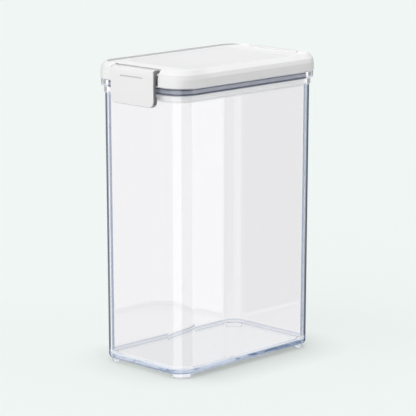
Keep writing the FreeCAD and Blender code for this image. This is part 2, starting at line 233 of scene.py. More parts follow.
def finish_shading(piece, angle):
    """Smooth shading that keeps flat faces flat, and edges sharper than the angle hard."""
    for face in piece.data.polygons:
        face.use_smooth = True
    piece.data.set_sharp_from_angle(angle=math.radians(angle))
    modify(piece, "WEIGHTED_NORMAL", keep_sharp=True, weight=SMOOTH_WEIGHT)
    settle(piece)
    print(piece.name, len(piece.data.vertices), "points", len(piece.data.polygons), "faces")


print("helpers for meshes: modify, settle, combine and finish_shading")

# %% [markdown]
# ## The clear body
#
# The body is one moulding. Its walls lean out by about a millimetre on the way up so that it
# leaves the mould, and round the mouth there is a low step and a wider flange for the latches.
# The profile runs under the floor, up the outside, over the mouth and down the inside. Glass-like
# plastic needs a closed wall with two skins, because light bends at both of them, so a plane with
# thickness added at the end would do, but it couldn't have the thicker floor and rim.

# %% Shell of the clear body
FLANGE_Z, STEP_OUT, FLANGE_OUT, CATCH_WIDTH, CATCH_RISE = 224.8, 0.9, 3.1, 1.4, 0.8
CAP_OFF = -9.0
body_profile = soften([
    (CAP_OFF, UNDER_Z, 0),
    (0, UNDER_Z, 2.4),
    (0, NECK_Z, 0.3),
    (STEP_OUT, NECK_Z, 0.35),
    (STEP_OUT, FLANGE_Z, 0.25),
    (FLANGE_OUT - CATCH_WIDTH, FLANGE_Z, 0.15),
    (FLANGE_OUT, FLANGE_Z + CATCH_RISE, 0.35),
    (FLANGE_OUT, MOUTH_Z, 0.5),
    (-WALL, MOUTH_Z, 0.5),
    (-WALL, FLOOR_Z, 3.6),
    (CAP_OFF, FLOOR_Z, 0),
])
clear_body = skin("clear_body", [body_ring(off, z) for off, z in body_profile])

# %% [markdown]
# ## Four feet
#
# Under each corner a low foot follows the corner's curve. One foot is drawn round its corner's
# centre, and Geometry Nodes set it on the four corners of a grid, a quarter turn further each
# time. Copying by hand would give four meshes to keep alike. The feet are then joined to the
# shell, because in the real moulding there is no gap between them for light to catch in.

# %% Outline of a foot
FOOT_MID, FOOT_HALF, FOOT_END_ROUND, FOOT_TRIM = 10.5, 2.3, 1.4, 1.2
END_STEPS, SIDE_STEPS = 4, 8


def foot_outline(inset, z):
    """The foot's outline in plan round its corner's centre, drawn in by inset."""
    first = math.asin(FOOT_TRIM / FOOT_MID) + FOOT_END_ROUND / FOOT_MID
    last = math.pi / 2 - first
    shift = FOOT_HALF - FOOT_END_ROUND
    corners = [
        (FOOT_MID + shift, last, 0), (FOOT_MID - shift, last, 1),
        (FOOT_MID - shift, first, 2), (FOOT_MID + shift, first, 3),
    ]
    sides = {
        1: (FOOT_MID - FOOT_HALF + inset, last, first),
        3: (FOOT_MID + FOOT_HALF - inset, first, last),
    }
    points = []
    for reach, at, quarter in corners:
        for step in range(END_STEPS + 1):
            turn = at + (quarter + step / END_STEPS) * math.pi / 2
            x = reach * math.cos(at) + (FOOT_END_ROUND - inset) * math.cos(turn)
            y = reach * math.sin(at) + (FOOT_END_ROUND - inset) * math.sin(turn)
            points.append((x, y, z))
        if quarter in sides:
            radius, start, end = sides[quarter]
            for step in range(1, SIDE_STEPS):
                turn = start + (end - start) * step / SIDE_STEPS
                points.append((radius * math.cos(turn), radius * math.sin(turn), z))
    return points


print("points in a foot's outline:", len(foot_outline(0, 0)))

# %% One foot, rounded where it stands
FOOT_EDGE, FOOT_JOIN, EDGE_STEPS = 0.8, 0.8, 4
foot_rings = []
for step in range(EDGE_STEPS + 1):
    lean = step / EDGE_STEPS * math.pi / 2
    inset, z = FOOT_EDGE * (1 - math.sin(lean)), FOOT_EDGE * (1 - math.cos(lean))
    foot_rings.append(foot_outline(inset, z))
foot_rings.append(foot_outline(0, UNDER_Z + FOOT_JOIN))
feet = skin("feet", foot_rings)

# %% [markdown]
# ## Small helpers for node trees
#
# Geometry and materials are both trees of nodes. One helper adds a node with its values and
# links, so that a tree reads like a recipe. A Geometry Nodes tree also gets named inputs for its
# sizes. Its modifier knows each input by an identifier and not by that name, so the
# identifiers are kept from the start, and the inputs are set before the result is asked for.


# %% Helpers that add nodes
def add(tree, kind, inputs=None, **settings):
    """Adds a node, sets its values, and links each input that is given as a socket."""
    made = tree.nodes.new(kind)
    for key, value in settings.items():
        setattr(made, key, value)
    for key, value in (inputs or {}).items():
        if isinstance(value, bpy.types.NodeSocket):
            tree.links.new(value, made.inputs[key])
        else:
            made.inputs[key].default_value = value
    return made


def math_of(tree, kind, first, second=0.0, third=0.0, clamp=False):
    """One Math node's result."""
    inputs = {0: first, 1: second, 2: third}
    return add(tree, "ShaderNodeMath", inputs, operation=kind, use_clamp=clamp).outputs[0]


def parts_of(tree, vector):
    """The parts X, Y and Z of a vector."""
    return add(tree, "ShaderNodeSeparateXYZ", {0: vector}).outputs


print("helpers for any tree: add, math_of and parts_of")


# %% Helpers for Geometry Nodes
def new_tree(name, sizes):
    """A Geometry Nodes tree with named inputs for its sizes, and the identifiers of these."""
    tree = bpy.data.node_groups.new(name, "GeometryNodeTree")
    tree.interface.new_socket("Geometry", in_out="INPUT", socket_type="NodeSocketGeometry")
    keys = {}
    for label in sizes:
        made = tree.interface.new_socket(label, in_out="INPUT", socket_type="NodeSocketFloat")
        keys[label] = made.identifier
    made = tree.interface.new_socket("Material", in_out="INPUT", socket_type="NodeSocketMaterial")
    keys["Material"] = made.identifier
    tree.interface.new_socket("Geometry", in_out="OUTPUT", socket_type="NodeSocketGeometry")
    return tree, keys


def close_tree(tree, source, geometry):
    """Ends a tree in Realize Instances and Set Material."""
    real = add(tree, "GeometryNodeRealizeInstances", {"Geometry": geometry})
    dressed = add(tree, "GeometryNodeSetMaterial", {
        "Geometry": real.outputs[0], "Material": source["Material"],
    })
    add(tree, "NodeGroupOutput", {"Geometry": dressed.outputs[0]})
    print(tree.name, "has", len(tree.nodes), "nodes")


def run_tree(piece, tree, keys, values):
    """Puts a tree on a piece, sets its inputs by identifier and makes the result a plain mesh."""
    modifier = piece.modifiers.new(tree.name, "NODES")
    modifier.node_group = tree
    for label, value in values.items():
        modifier[keys[label]] = value
    return settle(piece)


print("helpers for Geometry Nodes: new_tree, close_tree and run_tree")

# %% Tree that sets the foot on four corners
tree, keys = new_tree("on_four_corners", ["Length", "Width"])
source = add(tree, "NodeGroupInput").outputs
grid = add(tree, "GeometryNodeMeshGrid", {
    "Size X": source["Length"], "Size Y": source["Width"], "Vertices X": 2, "Vertices Y": 2,
})
place = parts_of(tree, add(tree, "GeometryNodeInputPosition").outputs[0])
behind = math_of(tree, "LESS_THAN", place["Y"], 0.0)
crossed = math_of(tree, "LESS_THAN", math_of(tree, "MULTIPLY", place["X"], place["Y"]), 0.0)
half_turn = math_of(tree, "MULTIPLY", behind, math.pi)
turn = math_of(tree, "MULTIPLY_ADD", crossed, math.pi / 2, half_turn)
spread = add(tree, "GeometryNodeInstanceOnPoints", {
    "Points": grid.outputs["Mesh"], "Instance": source["Geometry"],
    "Rotation": add(tree, "ShaderNodeCombineXYZ", {"Z": turn}).outputs[0],
})
close_tree(tree, source, spread.outputs[0])

# %% Join the feet to the shell
clear_plastic = bpy.data.materials.new("clear plastic")
feet = run_tree(feet, tree, keys, {
    "Length": (BASE_X - WALL_RADIUS) * 2 * MM,
    "Width": (BASE_Y - WALL_RADIUS) * 2 * MM,
    "Material": clear_plastic,
})
clear_body.data.materials.append(clear_plastic)
combine(clear_body, feet, "UNION")
finish_shading(clear_body, 40)

# %% [markdown]
# ## The white cover
#
# The cover is a shell too, drawn with the same rings. Its skirt is upright for the lower two
# thirds, leans in a little above that and ends in a flatter bevel. Inside the narrow crest the
# top drops by a steep step to a deck, and a flat panel lies in the middle for the next keeper to
# stand on. A box with bevels could give the outside, but not this stepped top.

# %% Skin of the cover
SKIRT_Z, LEAN_Z, CEILING_Z, BEVEL_Z, LID_Z = 231.0, 237.6, 240.7, 240.9, 244.4
SKIRT_OUT, LID_WALL, LEAN_OFF, CREST_OFF, CREST_WIDTH = 3.5, 2.6, 2.7, -0.4, 1.0
STEP_RUN, DECK_OFF, DECK_Z, CEILING_OFF = 0.5, -3.6, 242.7, -13.0
PANEL_X, PANEL_Y, PANEL_RADIUS, PANEL_Z, PANEL_EDGE = 56.8, 40.1, 12.0, 243.0, 0.5
cover_profile = soften([
    (CEILING_OFF, CEILING_Z, 0),
    (SKIRT_OUT - LID_WALL, CEILING_Z, 0.8),
    (SKIRT_OUT - LID_WALL, SKIRT_Z, 0.25),
    (SKIRT_OUT, SKIRT_Z, 0.35),
    (SKIRT_OUT, LEAN_Z, 3.0),
    (LEAN_OFF, BEVEL_Z, 0.5),
    (CREST_OFF, LID_Z, 0.7),
    (CREST_OFF - CREST_WIDTH, LID_Z, 0.35),
    (CREST_OFF - CREST_WIDTH - STEP_RUN, DECK_Z, 0.8),
    (DECK_OFF, DECK_Z, 0),
])
cover_rings = [top_ring(off, z) for off, z in cover_profile]
for out, z in ((PANEL_EDGE, PANEL_Z - 0.02), (0, PANEL_Z), (-PANEL_EDGE, PANEL_Z)):
    cover_rings.append(ring(PANEL_X + out, PANEL_Y + out, PANEL_RADIUS + out, z))
cover = skin("cover", cover_rings)

# %% [markdown]
# ## Notches and hinge seats
#
# At each end the cover is open for the latch. Inside the skirt a thick seat holds the hinge pin,
# and at the top a low ridge closes the deck off behind the latch. The rings are the same all the
# way round, so these forms can't be part of the profile. They are blocks and a rod, joined on or
# cut out: first the seat and the ridge, then the notch that trims them both, then the pin's bore.
# A cutter always reaches a little past what it cuts, or a thin film of plastic could stay.


# %% Blocks and rods for joining and cutting
def block(name, x0, x1, half_y, z0, z1, radius=0.3):
    """A box between two places along x, with its upright edges rounded."""
    middle, half_x = (x0 + x1) / 2, abs(x1 - x0) / 2
    return skin(name, [
        [(x + middle, y, z) for x, y, z in ring(half_x, half_y, radius, level)]
        for level in (z0, z1)
    ])


def rod(name, x, z, radius, half_y, sides=40):
    """A round bar along y."""
    rings = []
    for y in (-half_y, half_y):
        turns = [math.tau * i / sides for i in range(sides)]
        rings.append([(x + radius * math.cos(t), y, z + radius * math.sin(t)) for t in turns])
    return skin(name, rings)


print("tools for the ends of the cover: block and rod")

# %% Seats, ridges, notches and bores
NOTCH_X, NOTCH_Y, NOTCH_ROUND, BEYOND_X, PAST = 75.0, 25.7, 0.5, 90.0, 1.0
SEAT_WALL, SEAT_END_X, CHEEK, SEAT_SINK = 2.0, 79.8, 2.6, 0.4
RIDGE_WALL, RIDGE_END_X, RIDGE_SIDE, RIDGE_SINK, RIDGE_DROP = 1.2, 76.2, 1.0, 1.0, 0.3
HINGE_X, HINGE_Z, HUB_RADIUS, PIN_RADIUS = 79.0, 240.0, 3.6, 1.1
BORE_Y = NOTCH_Y + CHEEK * 0.85
for side in (-1, 1):
    seat = block(
        "seat", side * (NOTCH_X - SEAT_WALL), side * SEAT_END_X,
        NOTCH_Y + CHEEK, SKIRT_Z, CEILING_Z + SEAT_SINK)
    combine(cover, seat, "UNION")
for side in (-1, 1):
    ridge = block(
        "ridge", side * (NOTCH_X - RIDGE_WALL), side * RIDGE_END_X,
        NOTCH_Y + RIDGE_SIDE, DECK_Z - RIDGE_SINK, LID_Z - RIDGE_DROP)
    combine(cover, ridge, "UNION")
    notch = block(
        "notch", side * NOTCH_X, side * BEYOND_X,
        NOTCH_Y, SKIRT_Z - PAST, LID_Z + PAST, NOTCH_ROUND)
    combine(cover, notch, "DIFFERENCE")
    combine(cover, rod("bore", side * HINGE_X, HINGE_Z, PIN_RADIUS, BORE_Y), "DIFFERENCE")
finish_shading(cover, 32)

# %% [markdown]
# ## The liner
#
# Under the cover a white plug goes down into the mouth. Through the clear wall it shows as a
# pale band with two fine grooves round it. It is the same kind of skin: the grooves are only
# four more points each in its profile.

# %% Liner
LINER_Z, BAND_TOP_Z = 219.8, 225.0
BAND_OFF, COLLAR_OFF, LINER_WALL, LINER_FLOOR, PLUG_OFF = -2.7, -4.9, 2.2, 2.0, -13.5
GROOVES_Z = (221.4, 223.0)
GROOVE_DEPTH, GROOVE_WIDTH, GROOVE_LEAN, GROOVE_ROUND = 0.35, 0.5, 0.05, 0.08
liner_profile = [(PLUG_OFF, LINER_Z, 0), (BAND_OFF, LINER_Z, 0.7)]
for z in GROOVES_Z:
    liner_profile += [
        (BAND_OFF, z, GROOVE_ROUND),
        (BAND_OFF - GROOVE_DEPTH, z + GROOVE_LEAN, GROOVE_ROUND),
        (BAND_OFF - GROOVE_DEPTH, z + GROOVE_WIDTH - GROOVE_LEAN, GROOVE_ROUND),
        (BAND_OFF, z + GROOVE_WIDTH, GROOVE_ROUND),
    ]
liner_profile += [
    (BAND_OFF, BAND_TOP_Z, 0.35),
    (COLLAR_OFF, BAND_TOP_Z, 0),
    (COLLAR_OFF, CEILING_Z, 0),
    (COLLAR_OFF - LINER_WALL, CEILING_Z, 0),
    (COLLAR_OFF - LINER_WALL, LINER_Z + LINER_FLOOR, 1.0),
    (PLUG_OFF, LINER_Z + LINER_FLOOR, 0),
]
liner = skin("liner", [top_ring(off, z) for off, z in soften(liner_profile)])
finish_shading(liner, 40)

# %% [markdown]
# ## The seal
#
# The seal is a soft ring with one cross-section all the way round, so it is a sweep: Geometry
# Nodes draw the rounded rectangle that it follows and run the cross-section along it. When the
# ring has to fit another mouth, only the inputs change.

# %% Cross-section of the seal
SEAL_CORE_OFF, SEAL_LIP_OFF, SEAL_TOP_Z, SEAL_GAP = -2.85, -2.34, 230.85, 0.05


def cross_section(name, points):
    """A closed outline of (off, z) points as a flat curve, whose y points down in the sweep."""
    curve = bpy.data.curves.new(name, "CURVE")
    curve.dimensions = "3D"
    line = curve.splines.new("POLY")
    line.points.add(len(points) - 1)
    for point, (off, z) in zip(line.points, points):
        point.co = (off * MM, -z * MM, 0, 1)
    line.use_cyclic_u = True
    piece = bpy.data.objects.new(name, curve)
    scene.collection.objects.link(piece)
    return piece


seal_points = soften([
    (COLLAR_OFF + SEAL_GAP, BAND_TOP_Z + SEAL_GAP, 0),
    (SEAL_CORE_OFF, BAND_TOP_Z + SEAL_GAP, 0.15),
    (SEAL_CORE_OFF, BAND_TOP_Z + 0.7, 0.2),
    (SEAL_LIP_OFF, BAND_TOP_Z + 1.0, 0.25),
    (SEAL_LIP_OFF, BAND_TOP_Z + 1.6, 0.25),
    (SEAL_CORE_OFF, BAND_TOP_Z + 2.1, 0.3),
    (SEAL_CORE_OFF, SEAL_TOP_Z - 2.2, 0.3),
    (SEAL_LIP_OFF, SEAL_TOP_Z - 1.7, 0.25),
    (SEAL_LIP_OFF, SEAL_TOP_Z - 1.1, 0.25),
    (SEAL_CORE_OFF, SEAL_TOP_Z - 0.7, 0.2),
    (SEAL_CORE_OFF, SEAL_TOP_Z, 0.15),
    (COLLAR_OFF + SEAL_GAP, SEAL_TOP_Z, 0),
])
print("points in the seal's cross-section:", len(seal_points))

# %% Tree that sweeps round the mouth
tree, keys = new_tree("sweep_round_the_mouth", ["Length", "Width", "Corner"])
source = add(tree, "NodeGroupInput").outputs
route = add(tree, "GeometryNodeCurvePrimitiveQuadrilateral", {
    "Width": source["Length"], "Height": source["Width"],
}, mode="RECTANGLE")
route = add(tree, "GeometryNodeFilletCurve", {
    "Curve": route.outputs[0], "Radius": source["Corner"], "Count": CORNER_STEPS,
}, mode="POLY")
swept = add(tree, "GeometryNodeCurveToMesh", {
    "Curve": route.outputs[0], "Profile Curve": source["Geometry"],
})
close_tree(tree, source, swept.outputs[0])

# %% Sweep the seal and close its seam
silicone = bpy.data.materials.new("silicone")
seal = run_tree(cross_section("seal", seal_points), tree, keys, {
    "Length": TOP_X * 2 * MM,
    "Width": TOP_Y * 2 * MM,
    "Corner": WALL_RADIUS * MM,
    "Material": silicone,
})
shape = bmesh.new()
shape.from_mesh(seal.data)
bmesh.ops.remove_doubles(shape, verts=shape.verts, dist=1e-7)
bmesh.ops.recalc_face_normals(shape, faces=shape.faces)
shape.to_mesh(seal.data)
shape.free()
finish_shading(seal, 40)
print("the seal spans", [round(v / MM, 2) for v in seal.dimensions], "mm")

# %% [markdown]
# ## The latches
#
# A latch is a flap that hangs from a hub between the cheeks of the cover. Its face is very
# slightly crowned, its two lower corners are round, and a lip runs round its back. The flap is a
# stack of outlines again, this time from the face backwards, and the hub, the hook and the bore
# are joined to it or cut from it, as a mould maker would put them together.

# %% Outline of a latch
LATCH_FACE, LATCH_THICK, LATCH_HALF, LATCH_LOW_Z = 84.6, 3.1, 24.0, 214.5
LATCH_TOP_Z = HINGE_Z + HUB_RADIUS
LATCH_CORNER, LATCH_TOP_ROUND, LATCH_EDGE = 5.0, 3.2, 0.7
LATCH_CROWN, CROWN_REACH = 0.12, 9.0
LATCH_TOP_CORNER, TOP_CORNER_GROWTH = 0.4, 0.2
FLAP_STEPS = 8


def flap_outline(x, half_y, z0, z1, low_radius, high_radius):
    """A rectangle in y and z whose lower and upper corners have their own radii."""
    points = []
    corners = [
        (1, z1, high_radius), (-1, z1, high_radius), (-1, z0, low_radius), (1, z0, low_radius),
    ]
    for quarter, (side, z, radius) in enumerate(corners):
        up = 1 if z == z1 else -1
        for step in range(FLAP_STEPS + 1):
            turn = (quarter + step / FLAP_STEPS) * math.pi / 2
            y = side * (half_y - radius) + radius * math.cos(turn)
            points.append((x, y, z - up * radius + radius * math.sin(turn)))
    return points


def sunk(depth, radius):
    """How far a round edge has drawn in at a depth below the face."""
    if depth >= radius:
        return 0.0
    return radius - math.sqrt(radius ** 2 - (radius - depth) ** 2)


def flap_ring(side, depth, inset=0.0):
    """The flap's outline at a depth below its face, drawn in by inset."""
    edge = sunk(depth, LATCH_EDGE) + inset
    top = LATCH_TOP_Z - sunk(depth, LATCH_TOP_ROUND) - inset
    crown = LATCH_CROWN * (1 - min(inset / CROWN_REACH, 1)) ** 2
    return flap_outline(
        side * (LATCH_FACE - depth - crown), LATCH_HALF - edge, LATCH_LOW_Z + edge, top,
        max(LATCH_CORNER - edge, LATCH_TOP_CORNER),
        LATCH_TOP_CORNER + sunk(depth, LATCH_EDGE) * TOP_CORNER_GROWTH,
    )


print("a latch is", 2 * LATCH_HALF, "mm wide and", round(LATCH_TOP_Z - LATCH_LOW_Z, 1), "mm high")

# %% Plate and lip of a latch
FACE_INSETS = (CROWN_REACH, 6, 3.5, 1.5, 0.4)
EDGE_DEPTHS = (0.0, 0.06, 0.2, 0.42, 0.7, 1.2, 1.8, 2.5, LATCH_THICK)
LATCH_BACK = LATCH_FACE - LATCH_THICK
LIP_DEPTH, LIP_WIDTH, LIP_TOP_Z, LIP_ROUND, LIP_CORNER = 1.5, 1.7, 222.8, 0.3, 0.6
LIP_SINK, HOLLOW_SINK, HOLLOW_OPEN, HOLLOW_CORNER = 0.4, 0.2, 5.0, 0.4


def flap(side):
    """The plate of the latch, from the crowned face back."""
    face = [flap_ring(side, 0, inset) for inset in FACE_INSETS]
    edge = [flap_ring(side, depth) for depth in EDGE_DEPTHS]
    return skin("flap", face + edge)


def lip(side):
    """The lip round the lower part of the back, open towards the hub."""
    steps = (
        (LATCH_BACK + LIP_SINK, 0),
        (LATCH_BACK - LIP_DEPTH + LIP_ROUND, 0),
        (LATCH_BACK - LIP_DEPTH, LIP_ROUND),
    )
    outer = skin("lip", [
        flap_outline(
            side * x, LATCH_HALF - inset, LATCH_LOW_Z + inset, LIP_TOP_Z,
            LATCH_CORNER - inset, LIP_CORNER)
        for x, inset in steps
    ])
    hollow = skin("hollow", [
        flap_outline(
            side * x, LATCH_HALF - LIP_WIDTH, LATCH_LOW_Z + LIP_WIDTH, LIP_TOP_Z + HOLLOW_OPEN,
            LATCH_CORNER - LIP_WIDTH, HOLLOW_CORNER)
        for x in (LATCH_BACK + HOLLOW_SINK, LATCH_BACK - LIP_DEPTH - PAST)
    ])
    return combine(outer, hollow, "DIFFERENCE")


print("the plate is", LATCH_THICK, "mm thick and its lip", LIP_DEPTH, "mm deep")

# %% Hook, finger line and bridge of a latch
HOOK_HALF = 20.0
HOOK = [(0.5, -15.5), (2.5, -14.35), (4.0, -14.35), (4.0, -20.1), (2.5, -20.1), (0.5, -18.5)]
LINE_HALF, LINE_LOW_Z, LINE_HIGH_Z, LINE_DEPTH = 12.5, 236.5, 237.2, 0.4
LINE_ROUND = (LINE_HIGH_Z - LINE_LOW_Z) / 2 - 0.01
BRIDGE_HALF, BRIDGE_TOP_Z, BRIDGE_SINK = LATCH_HALF - 0.02, LATCH_TOP_Z - 0.01, 0.3


def hook(side):
    """The hook that reaches under the flange."""
    return skin("hook", [
        [(side * (HINGE_X + u), y, HINGE_Z + v) for u, v in HOOK] for y in (-HOOK_HALF, HOOK_HALF)
    ])


def finger_line(side):
    """The shallow line across the face, with round ends."""
    return skin("line", [
        flap_outline(side * x, LINE_HALF, LINE_LOW_Z, LINE_HIGH_Z, LINE_ROUND, LINE_ROUND)
        for x in (LATCH_FACE - LINE_DEPTH, LATCH_FACE + PAST)
    ])


def bridge(side):
    """The solid top between the hub and the plate."""
    return skin("bridge", [
        flap_outline(side * x, BRIDGE_HALF, HINGE_Z, BRIDGE_TOP_Z, 0.3, LATCH_TOP_CORNER)
        for x in (HINGE_X, LATCH_BACK + BRIDGE_SINK)
    ])


print("the line is", 2 * LINE_HALF, "mm long and", LINE_DEPTH, "mm deep")

# %% Two latches
PIN_PLAY, BORE_PAST = 0.08, 4.0
latches = {}
for name, side in (("left", -1), ("right", 1)):
    latch = flap(side)
    latch.name = f"{name}_latch_face"
    hub = rod("hub", side * HINGE_X, HINGE_Z, HUB_RADIUS, LATCH_HALF - LATCH_EDGE)
    bore = rod("bore", side * HINGE_X, HINGE_Z, PIN_RADIUS + PIN_PLAY, LATCH_HALF + BORE_PAST)
    for part in (bridge(side), hub, lip(side), hook(side)):
        combine(latch, part, "UNION")
    for cutter in (bore, finger_line(side)):
        combine(latch, cutter, "DIFFERENCE")
    finish_shading(latch, 30)
    latches[name] = latch

# %% [markdown]
# ## Finishes from small steps
#
# Each finish below is one Principled shader, and its colour is blended by masks. A mask is a
# number from 0 to 1 that says where on the piece a shade belongs: at a height, on a slope, along
# an edge. Painting a picture for each piece would be another way, but a mask made from the place
# and the slope of the surface needs no unwrapping, and it stays right when a size changes.


# %% Helpers for masks
def fade(tree, value, start, end, first=0.0, last=1.0):
    """Goes evenly from first to last while a value goes from start to end."""
    return add(tree, "ShaderNodeMapRange", {
        "Value": value, "From Min": start, "From Max": end, "To Min": first, "To Max": last,
    }).outputs[0]


def fade_along(tree, value, start, end, first=0.0, last=1.0):
    """The same between two places in millimetres."""
    return fade(tree, value, start * MM, end * MM, first, last)


def size_of(tree, value):
    """A value without its sign."""
    return math_of(tree, "ABSOLUTE", value)


def near(tree, value, middle, close, far):
    """1 where a value is closer to the middle than close, 0 where it is further off than far."""
    return fade(tree, size_of(tree, math_of(tree, "SUBTRACT", value, middle)), far, close)


def between(tree, value, low, high, blur):
    """1 where a value lies between two lengths in millimetres, 0 outside, with a blurred edge."""
    middle, half, soft = (low + high) / 2 * MM, (high - low) / 2 * MM, blur * MM / 2
    return near(tree, value, middle, half - soft, half + soft)


def all_of(tree, first, *others):
    """The product of masks: 1 only where each of them is 1."""
    for other in others:
        first = math_of(tree, "MULTIPLY", first, other)
    return first


print("helpers for masks: fade, fade_along, size_of, near, between and all_of")


# %% Helpers for place and slope
def vector_of(tree, kind, first, second=(0, 0, 0)):
    """The results of one Vector Math node."""
    return add(tree, "ShaderNodeVectorMath", {0: first, 1: second}, operation=kind).outputs


def spot_on(tree):
    """The place on the piece as one vector, in metres."""
    return add(tree, "ShaderNodeTexCoord").outputs["Object"]


def slope_of(tree):
    """The way that the surface faces, as parts X, Y and Z between -1 and 1."""
    return parts_of(tree, add(tree, "ShaderNodeNewGeometry").outputs["Normal"])


print("helpers for places: vector_of, spot_on and slope_of")


# %% Helpers for shaders and colours
def blend_shaders(tree, share, first, second):
    """A Mix Shader: first where share is 0, second where it is 1."""
    return add(tree, "ShaderNodeMixShader", {0: share, 1: first, 2: second}).outputs[0]


def blend_colours(tree, share, first, second):
    """A colour mix: first where share is 0, second where it is 1."""
    return add(tree, "ShaderNodeMix", {0: share, 6: first, 7: second}, data_type="RGBA").outputs[2]


def scaled(tree, colour, share):
    """A colour made darker or brighter by a share."""
    start = colour if isinstance(colour, bpy.types.NodeSocket) else colour[:3]
    inputs = {0: start, "Scale": share}
    return add(tree, "ShaderNodeVectorMath", inputs, operation="SCALE").outputs[0]


def start_material(material, **plain):
    """Gives a material one Principled shader, whose plain inputs are set by name."""
    material.use_nodes = True
    tree = material.node_tree
    tree.nodes.clear()
    shader = add(tree, "ShaderNodeBsdfPrincipled")
    for key, value in plain.items():
        shader.inputs[key.replace("_", " ")].default_value = value
    add(tree, "ShaderNodeOutputMaterial", {"Surface": shader.outputs[0]})
    return tree, shader


def report(material):
    """Prints how many nodes a finish took."""
    print(material.name, "has", len(material.node_tree.nodes), "nodes")


print("helpers for finishes: blend_shaders, blend_colours, scaled, start_material and report")

# %% [markdown]
# ## Moulded grain
#
# No moulded plastic is perfectly even: there is a fine grain from the mould's steel and slow
# changes in gloss where the melt flowed. All the opaque pieces here share that, so it is a node
# group: it turns a place into a height, a change of roughness and a shade, and each material
# adds them to its own colour, roughness and height of relief. Nodes copied into every material
# would have to be kept alike by hand.

# %% Grain group
GRAIN_INPUTS = {"Grain size": 2500.0, "Flow size": 30.0, "Gloss change": 0.08, "Shade change": 0.02}
SPECK_SHARE = 0.4
grain = bpy.data.node_groups.new("moulded grain", "ShaderNodeTree")
for label, value in GRAIN_INPUTS.items():
    made = grain.interface.new_socket(label, in_out="INPUT", socket_type="NodeSocketFloat")
    made.default_value = value
for label in ("Height", "Gloss", "Shade"):
    grain.interface.new_socket(label, in_out="OUTPUT", socket_type="NodeSocketFloat")
source = add(grain, "NodeGroupInput").outputs
where = spot_on(grain)
fine = add(grain, "ShaderNodeTexNoise", {
    "Vector": where, "Scale": source["Grain size"], "Detail": 3.0, "Roughness": 0.6,
}).outputs[0]
slow = add(grain, "ShaderNodeTexNoise", {
    "Vector": where, "Scale": source["Flow size"], "Detail": 2.0, "Roughness": 0.5,
}).outputs[0]
speck = math_of(grain, "SUBTRACT", fine, 0.5)
drift = math_of(grain, "SUBTRACT", slow, 0.5)
both = math_of(grain, "MULTIPLY_ADD", speck, SPECK_SHARE, drift)
add(grain, "NodeGroupOutput", {
    "Height": fine,
    "Gloss": math_of(grain, "MULTIPLY", both, source["Gloss change"]),
    "Shade": math_of(grain, "MULTIPLY_ADD", both, source["Shade change"], 1.0),
})
print("moulded grain has", len(grain.nodes), "nodes")

# %% Put the grain on a material
FINE_RELIEF = 0.01


def with_grain(tree, shader, colour, roughness, relief=FINE_RELIEF):
    """Feeds a shader's colour, roughness and normal from the grain; relief is in millimetres."""
    group = add(tree, "ShaderNodeGroup", node_tree=grain).outputs
    tree.links.new(scaled(tree, colour, group["Shade"]), shader.inputs["Base Color"])
    rough = math_of(tree, "ADD", group["Gloss"], roughness, clamp=True)
    tree.links.new(rough, shader.inputs["Roughness"])
    bump = add(tree, "ShaderNodeBump", {
        "Height": group["Height"], "Strength": 1.0, "Distance": relief * MM,
    })
    tree.links.new(bump.outputs[0], shader.inputs["Normal"])


print("the fine relief is", FINE_RELIEF, "mm high")

# %% [markdown]
# ## Clear plastic, and how light goes through it
#
# The body is clear, hard plastic with a slight blue tint. A Principled shader with full
# transmission bends light as plastic does, and absorption in the volume makes a long way through
# it bluer than a short one. Shadow rays can't follow bent light, so solid glass would throw a
# shadow like a black box. For them, and for light scattered by white pieces, the shader's Alpha
# is low instead, a little less so at the floor, where the plastic is thick.

# %% Clear plastic, start
PLASTIC_TINT, PLASTIC_DENSITY = (0.70, 0.76, 0.84, 1), 12
SLAB_LOW, SLAB_HIGH = 8.0, 9.5
SLAB_OPEN, WALL_OPEN = 0.7, 0.98
tree, shader = start_material(
    clear_plastic, IOR=1.49, Transmission_Weight=1.0, Roughness=0.0, Emission_Strength=1.0)
absorb = add(tree, "ShaderNodeVolumeAbsorption", {
    "Color": PLASTIC_TINT, "Density": PLASTIC_DENSITY,
})
tree.links.new(absorb.outputs["Volume"], tree.nodes["Material Output"].inputs["Volume"])
path = add(tree, "ShaderNodeLightPath").outputs
spot = spot_on(tree)
place = parts_of(tree, spot)
slope = slope_of(tree)
soft_rays = math_of(tree, "MAXIMUM", path["Is Shadow Ray"], path["Is Diffuse Ray"])
openness = fade_along(tree, place["Z"], SLAB_LOW, SLAB_HIGH, SLAB_OPEN, WALL_OPEN)
openness = all_of(tree, soft_rays, openness)
tree.links.new(math_of(tree, "SUBTRACT", 1.0, openness), shader.inputs["Alpha"])
report(clear_plastic)
